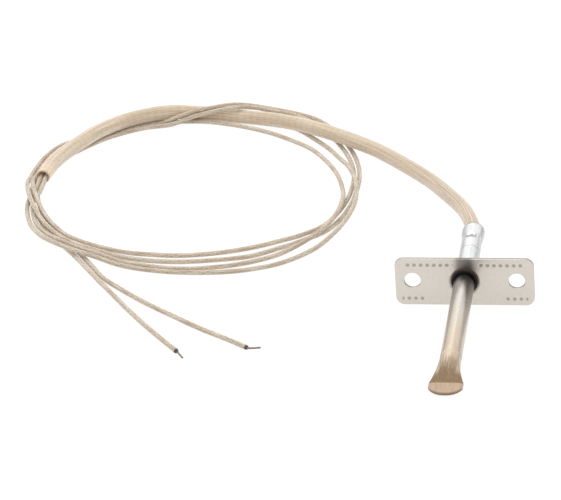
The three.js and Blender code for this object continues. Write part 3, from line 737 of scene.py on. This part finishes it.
def make_sheath(material):
    sides = 128
    angle = circle_angles(sides)[None, :]
    cos, sin = np.cos(angle), np.sin(angle)
    # rings: round the tip's edge, along the taper, sparser on the plain tube, fine in the crimp
    outer_y = np.concatenate([
        TIP_END + TIP_EDGE_R * (1 - np.cos(np.linspace(0.12, np.pi / 2, 7))),
        np.arange(TIP_END + 0.0007, FLATTEN_START, 0.00035),
        np.arange(FLATTEN_START, GROOVE_AT - 0.002, 0.0015),
        np.arange(GROOVE_AT - 0.0018, TUBE_REAR - 0.0002, 0.0002),
        [TUBE_REAR - 0.00012, TUBE_REAR],
    ])
    y = outer_y[:, None]
    across, up = sheath_section(y, cos, sin, 0)
    # the tip's rounded edge, from the flat tab to the end
    share = np.sqrt(np.clip(1 - ((TIP_END + TIP_EDGE_R - y) / TIP_EDGE_R) ** 2, 0.0009, 1))
    share = np.where(y < TIP_END + TIP_EDGE_R, share, 1)
    across = across - np.sign(cos) * np.minimum(TIP_EDGE_R, np.abs(across)) * (1 - share)
    up = up * share
    # a shallow step where the taper meets the welded tab
    step_front = smooth_step(TAB_START, TAB_START + 0.0005, y)
    step_back = smooth_step(TAB_START + 0.0025, TAB_START + 0.0004, y)
    up = up * (1 + 0.10 * step_front * step_back)
    # the crimp: four dimples, and the grooves of the crimping tool's jaw
    dimple = bell(y, DIMPLE_AT, 0.0009) * np.exp(-(np.sin(2 * angle) / 0.75) ** 4)
    groove = bell(y, GROOVE_AT, 0.0003) + 0.6 * bell(y, SECOND_GROOVE_AT, 0.0003)
    lip = bell(y, TUBE_REAR, 0.0004)
    shrink = 1 - 0.16 * dimple - 0.022 * groove - 0.03 * lip
    across, up = across * shrink, up * shrink
    bow = TIP_BOW * smooth_step(TAB_START, TIP_END, y)
    depth = np.broadcast_to(y, across.shape) + bow * np.abs(across / TIP_HALF_WIDTH) ** TIP_BOW_POWER
    outer = np.stack([across, depth, up], axis=-1)

    inner_y = np.concatenate([
        [TUBE_REAR, TUBE_REAR - 0.0002],
        np.arange(TUBE_REAR - 0.001, CRIMP_START - 0.003, -0.001),
        np.arange(0.018, BORE_END, -0.004),
        [BORE_END],
    ])
    y = inner_y[:, None]
    across, up = sheath_section(y, cos, sin, TUBE_WALL)
    closing = np.where(y <= BORE_END, 0.5, 1)
    inner = np.stack([across * closing, np.broadcast_to(y, across.shape), up * closing], axis=-1)

    local = np.concatenate([outer.reshape(-1, 3), inner.reshape(-1, 3)])
    rows = len(outer_y) + len(inner_y)
    faces = flipped(grid_faces(rows, sides)) + cap_faces(rows, sides)
    piece = new_object("sheath", to_row_frame(local), faces, material)
    add_local_points(piece, local)
    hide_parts("sheath_tube")


def rounded_rectangle(half_width, half_height, radius):
    arc_steps = 12
    points = []
    corners = ((1, 1, 0), (-1, 1, 90), (-1, -1, 180), (1, -1, 270))
    for x_sign, z_sign, start in corners:
        for step in range(arc_steps + 1):
            a = math.radians(start + 90 * step / arc_steps)
            points.append((
                x_sign * (half_width - radius) + radius * math.cos(a),
                z_sign * (half_height - radius) + radius * math.sin(a),
            ))
    return points


def circle(x, z, radius, steps):
    turns = [2 * math.pi * i / steps for i in range(steps)]
    return [(x + radius * math.cos(a), z + radius * math.sin(a)) for a in turns]


def make_plate(material):
    """The stamped plate, from its edges inwards: each edge is a run of loops from face to face."""
    # each profile point is how far the loop stands in from the edge, and its depth in the plate
    t = PLATE_THICKNESS
    cut_edge = [
        (0.00018, 0), (0.00008, 0.00002), (0.00002, 0.00008), (0, 0.0002), (0, t - 0.00012), (0.0001, t),
    ]
    pierced = [
        (0.00025, 0), (0.00012, 0.00003), (0.00004, 0.0001), (0, 0.0002), (0, t - 0.0001), (0.0001, t),
    ]
    drawn_in = COLLAR_R - PLATE_HOLE_R
    collar = [
        (drawn_in + 0.0003, 0), (drawn_in, 0.00001), (drawn_in * 0.8, 0.00006), (drawn_in * 0.5, 0.00016),
        (drawn_in * 0.2, 0.00027), (drawn_in * 0.05, 0.00036), (0, 0.00048), (0, t - 0.0001), (0.0001, t),
        (drawn_in + 0.0003, t),
    ]

    def outline(inset):
        return rounded_rectangle(PLATE_WIDTH / 2 - inset, PLATE_HEIGHT / 2 - inset, PLATE_CORNER_R - inset)

    edges = [(cut_edge, outline), (collar, lambda inset: circle(0, 0, PLATE_HOLE_R + inset, 96))]
    for x in (-SCREW_X, SCREW_X):
        edges.append((pierced, lambda inset, x=x: circle(x, SCREW_RISE, SCREW_HOLE_R + inset, 64)))

    mesh = bmesh.new()
    face_loops = {"front": [], "back": []}
    for profile, loop_at in edges:
        loops = []
        for inset, depth in profile:
            loops.append([mesh.verts.new((x, depth, z)) for x, z in loop_at(inset)])
        for one, other in zip(loops, loops[1:]):
            for i in range(len(one)):
                k = (i + 1) % len(one)
                mesh.faces.new((one[i], one[k], other[k], other[i]))
        for where, loop in (("front", loops[0]), ("back", loops[-1])):
            for i in range(len(loop)):
                face_loops[where].append(mesh.edges.get((loop[i], loop[(i + 1) % len(loop)])))
    for loop_edges in face_loops.values():
        bmesh.ops.triangle_fill(mesh, use_beauty=True, use_dissolve=False, edges=loop_edges)
    bmesh.ops.recalc_face_normals(mesh, faces=mesh.faces)
    mesh.verts.index_update()
    local = np.array([v.co for v in mesh.verts])
    faces = [tuple(v.index for v in f.verts) for f in mesh.faces]
    mesh.free()
    piece = new_object("plate", to_row_frame(local), faces, material)
    piece.data.set_sharp_from_angle(angle=math.radians(25))
    add_local_points(piece, local)
    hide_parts("mounting_plate")


def make_braze(material):
    """The braze in the plate's hole, and its fillet behind the plate, with an uneven foot."""
    sides = 96
    low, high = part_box("braze_ring")
    foot = (high.x - low.x) / 2
    inner = TUBE_R + 0.00004
    crest = inner + 0.0002
    crest_height = 0.0018
    front = PLATE_THICKNESS + 0.0002
    in_hole = PLATE_HOLE_R - 0.00003
    hole_depth = 0.0003
    angle = circle_angles(sides)
    waves = 0.5 + 0.25 * np.sin(3 * angle + 0.7) + 0.25 * np.sin(7 * angle + 2)

    def ring(radius, depth):
        depths = np.broadcast_to(depth, angle.shape)
        return np.stack([radius * np.cos(angle), depths, radius * np.sin(angle)], axis=-1)

    rings = [ring(in_hole, hole_depth), ring(in_hole, front)]
    for t in np.linspace(0, 1, 9):
        radius = crest + (foot - crest) * (1 - t) ** 2 * (0.82 + 0.18 * waves)
        depth = front + crest_height * t ** 0.8 * (0.85 + 0.15 * waves[::-1])
        rings.append(ring(radius, depth))
    rings += [ring(inner, depth), ring(inner, hole_depth)]
    local = np.concatenate(rings)
    faces = grid_faces(len(rings), sides)
    last = (len(rings) - 1) * sides
    faces += [(last + j, last + (j + 1) % sides, (j + 1) % sides, j) for j in range(sides)]
    piece = new_object("braze_fillet", to_row_frame(local), faces, material)
    add_local_points(piece, local)
    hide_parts("braze_ring")


def along_heading(start, heading, profile, sides):
    """A turned body on a line: profile points are (distance along, radius)."""
    heading = Vector(heading).normalized()
    side = heading.cross(Vector((0, 0, 1))).normalized()
    up = side.cross(heading)
    vertices = []
    for distance, radius in profile:
        for a in circle_angles(sides):
            outwards = side * math.cos(a) + up * math.sin(a)
            vertices.append(Vector(start) + heading * distance + outwards * radius)
    rows = len(profile)
    return vertices, flipped(grid_faces(rows, sides)) + cap_faces(rows, sides)


def make_lead_end(letter, centres, materials, bare_tip, bare_length):
    """The varnished ring that ends the braid, and the stripped conductor, bent towards its tip."""
    end = centres[-1]
    heading = unit(centres[-1] - centres[-4])
    # distance from the braid's end, and radius
    ring = [
        (-0.0001, 0.00045), (-0.0001, 0.00054), (0.0001, 0.0006), (0.0004, 0.00061), (0.0006, 0.00055),
        (0.0007, 0.00045), (0.00073, 0.0003),
    ]
    vertices, faces = along_heading(end, heading, ring, sides=32)
    seal = new_object(f"end_ring_{letter}", vertices, faces, materials["end_seal"])
    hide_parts(f"end_seal_{letter}")
    bend = end + heading * BEND_AT
    bare_heading = unit(at_origin([bare_tip])[0] - bend)
    stations = [0.0008, 0.4 * bare_length, 0.7 * bare_length, bare_length]
    line = [end + heading * 0.0006, bend - heading * 0.0002] + [bend + bare_heading * d for d in stations]
    middle, _ = smooth_route(line, 0.0002)
    rows, sides = len(middle), 16
    radius = np.full(rows, CONDUCTOR_R)
    radius[-2:] *= (0.92, 0.6)
    vertices = rings_along(middle, np.tile(radius[:, None], sides))
    faces = grid_faces(rows, sides) + cap_faces(rows, sides)
    conductor = new_object(f"bare_wire_{letter}", vertices, faces, materials["bare_wire"])
    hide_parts(f"bare_conductor_{letter}")
    return [seal, conductor]


def make_fray(centres, material):
    """Loose glass filaments round the sleeve's cut end, each a thin curved thread."""
    random = np.random.default_rng(7)
    end = Vector(centres[-1])
    heading = (Vector(centres[-1]) - Vector(centres[-6])).normalized()
    side = heading.cross(Vector((0, 0, 1))).normalized()
    up = side.cross(heading)
    threads, steps, sides = 170, 6, 5
    root = 0.0004  # how far back inside the braid a thread starts
    thread_r = 0.00006
    vertices, faces = [], []
    for i in range(threads):
        a = 2 * math.pi * (i + random.uniform(-0.4, 0.4)) / threads
        out = side * math.cos(a) + up * math.sin(a)
        # longest on the underside
        length = random.uniform(0.0003, 0.0012) * (1.3 - 0.7 * math.sin(a))
        flare = random.uniform(-0.5, 0.35)
        twist = random.uniform(-0.8, 0.8)
        start = end + out * random.uniform(SLEEVE_BORE_R * 0.92, SLEEVE_R * 0.86) - heading * root
        first = len(vertices)
        for t in np.linspace(0, 1, steps):
            sweep = out.cross(heading) * (twist * length * t * t)
            centre = start + heading * (root + length) * t + out * (flare * length * t * t) + sweep
            radius = thread_r * (1 - 0.6 * t)
            for b in circle_angles(sides):
                vertices.append(centre + (side * math.cos(b) + up * math.sin(b)) * radius)
        faces += grid_faces(steps, sides, first) + cap_faces(steps, sides, first)
    return new_object("sleeve_fray", vertices, faces, material)


def make_sleeve():
    glass = glass_braid("sleeve_glass", SLEEVE_BRAID)
    sleeve, centres = braided_tube(
        "sleeve", at_origin(SLEEVE_ROUTE), SLEEVE_R, SLEEVE_BORE_R, sides=96, spacing=0.0005,
        braid=SLEEVE_BRAID, material=glass,
    )
    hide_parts("glass_sleeve")
    fray = make_fray(centres, glass)


def make_leads(materials):
    glass = glass_braid("lead_glass", LEAD_BRAID)
    for letter, side_sign, outside, length, bare_tip, bare_length in (
        ("a", -1, LEAD_A_ROUTE, LEAD_A_LENGTH, BARE_TIP_A, BARE_LENGTH_A),
        ("b", 1, LEAD_B_ROUTE, LEAD_B_LENGTH, BARE_TIP_B, BARE_LENGTH_B),
    ):
        route = lead_route(side_sign, outside)
        lead, centres = braided_tube(
            f"braided_lead_{letter}", route, LEAD_R, bore=0, sides=20, spacing=0.0004,
            braid=LEAD_BRAID, material=glass,
        )
        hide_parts(f"lead_{letter}")
        ends = make_lead_end(letter, centres, materials, bare_tip, bare_length)


def dress_cad_nodes(materials):
    """The pieces inside the sheath keep their CAD shapes and get finished materials."""
    finishes = {
        "tip_packing": "cement", "hot_junction": "wire_alloy", "thermo_wire": "wire_alloy",
        "ceramic_bead": "ceramic", "splice_ferrule": "ferrule_metal", "splice_sleeve": "splice_glass",
        "lead_core": "wire_alloy",
    }
    for name, node in frame["nodes"].items():
        for start, finish in finishes.items():
            if name.startswith(start):
                node.data.materials.clear()
                node.data.materials.append(materials[finish])


# ---- stage ---------------------------------------------------------------------------
def add_to_stage(name, mesh, material):
    mesh.materials.append(material)
    piece = bpy.data.objects.new(name, mesh)
    bpy.context.scene.collection.objects.link(piece)
    return piece


def make_floor():
    """A white sweep. Most of its white is its own glow, so that shadows on it stay faint."""
    grid = bmesh.new()
    bmesh.ops.create_grid(grid, x_segments=8, y_segments=8, size=4)
    mesh = bpy.data.meshes.new("floor")
    grid.to_mesh(mesh)
    grid.free()
    s = Shader("floor_white")
    s.set(Base_Color=(0.14, 0.14, 0.14), Roughness=0.9, Specular_IOR_Level=0.0)
    s.set(Emission_Color=(1.0, 1.0, 1.0), Emission_Strength=0.9)
    floor = add_to_stage("floor", mesh, s.material)
    floor.location = (0, 0, -0.00003)  # just under the cords


def make_dark_card(back):
    """The unlit studio behind the camera, which the bare metal reflects. The camera doesn't see it."""
    side = Vector((-back.y, back.x, 0)).normalized()
    up = back.cross(side).normalized()
    distance, half_width, half_height = 1.6, 0.75, 0.42
    centre = back * distance
    corners = [
        centre + side * (x * half_width) + up * (z * half_height)
        for x, z in ((-1, -1), (1, -1), (1, 1), (-1, 1))
    ]
    mesh = bpy.data.meshes.new("dark_card")
    mesh.from_pydata([tuple(c) for c in corners], [], [(0, 1, 2, 3)])
    s = Shader("card_black")
    s.set(Base_Color=(0.02, 0.02, 0.02), Roughness=1.0, Specular_IOR_Level=0.0)
    card = add_to_stage("dark_card", mesh, s.material)
    card.visible_camera = False
    card.visible_shadow = False
    card.visible_diffuse = False


def add_light(name, location, target, size, power):
    data = bpy.data.lights.new(name, "AREA")
    data.shape = "RECTANGLE"
    data.size, data.size_y = size
    data.energy = power
    light = bpy.data.objects.new(name, data)
    light.location = location
    light.rotation_euler = (Vector(target) - Vector(location)).to_track_quat("-Z", "Y").to_euler()
    bpy.context.scene.collection.objects.link(light)


def light_studio(back):
    """A white tent, brighter overhead than at the horizon, with one soft box above and behind."""
    world = bpy.data.worlds.new("tent")
    world.use_nodes = True
    nodes, links = world.node_tree.nodes, world.node_tree.links
    direction = nodes.new("ShaderNodeTexCoord").outputs["Generated"]
    split = nodes.new("ShaderNodeSeparateXYZ")
    links.new(direction, split.inputs[0])
    fade = nodes.new("ShaderNodeMapRange")
    fade.interpolation_type = "SMOOTHSTEP"
    links.new(split.outputs["Z"], fade.inputs["Value"])
    for name, value in (("From Min", -0.05), ("From Max", 0.42), ("To Min", 0.45), ("To Max", 1.22)):
        fade.inputs[name].default_value = value
    background = nodes["Background"]
    background.inputs["Color"].default_value = (1, 0.995, 0.985, 1)
    links.new(fade.outputs["Result"], background.inputs["Strength"])
    bpy.context.scene.world = world
    add_light("soft_box", (-0.25, 0.5, 0.9), target=(-0.05, 0.03, 0), size=(0.7, 0.5), power=3.0)
    make_dark_card(back)
    make_floor()
    view = bpy.context.scene.view_settings
    view.view_transform = "Standard"
    view.look = "None"
    view.exposure = 0.0


# ---- the object ----------------------------------------------------------------------
camera_back = add_camera()
MATERIALS = {
    "end_seal": matt_solid("end_seal", (0.075, 0.055, 0.045), (0.035, 0.027, 0.022), 2500.0, 0.5),
    "bare_wire": worn_metal("bare_wire", (0.34, 0.30, 0.26), (0.19, 0.165, 0.145), 0.32, 2500.0),
    "wire_alloy": worn_metal("wire_alloy", (0.50, 0.48, 0.45), (0.36, 0.34, 0.32), 0.3),
    "ferrule_metal": worn_metal("ferrule_metal", (0.72, 0.70, 0.66), (0.58, 0.56, 0.52), 0.28),
    "ceramic": matt_solid("ceramic", (0.86, 0.84, 0.78), (0.78, 0.75, 0.68)),
    "cement": matt_solid("cement", (0.80, 0.77, 0.70), (0.66, 0.62, 0.55), 1500.0, 0.9),
    "splice_glass": matt_solid("splice_glass", (0.80, 0.72, 0.58), (0.62, 0.53, 0.40), 1800.0, 0.8),
}
make_sleeve()
make_leads(MATERIALS)
make_sheath(sheath_steel())
make_plate(plate_steel())
make_braze(braze_metal())
dress_cad_nodes(MATERIALS)
light_studio(camera_back)
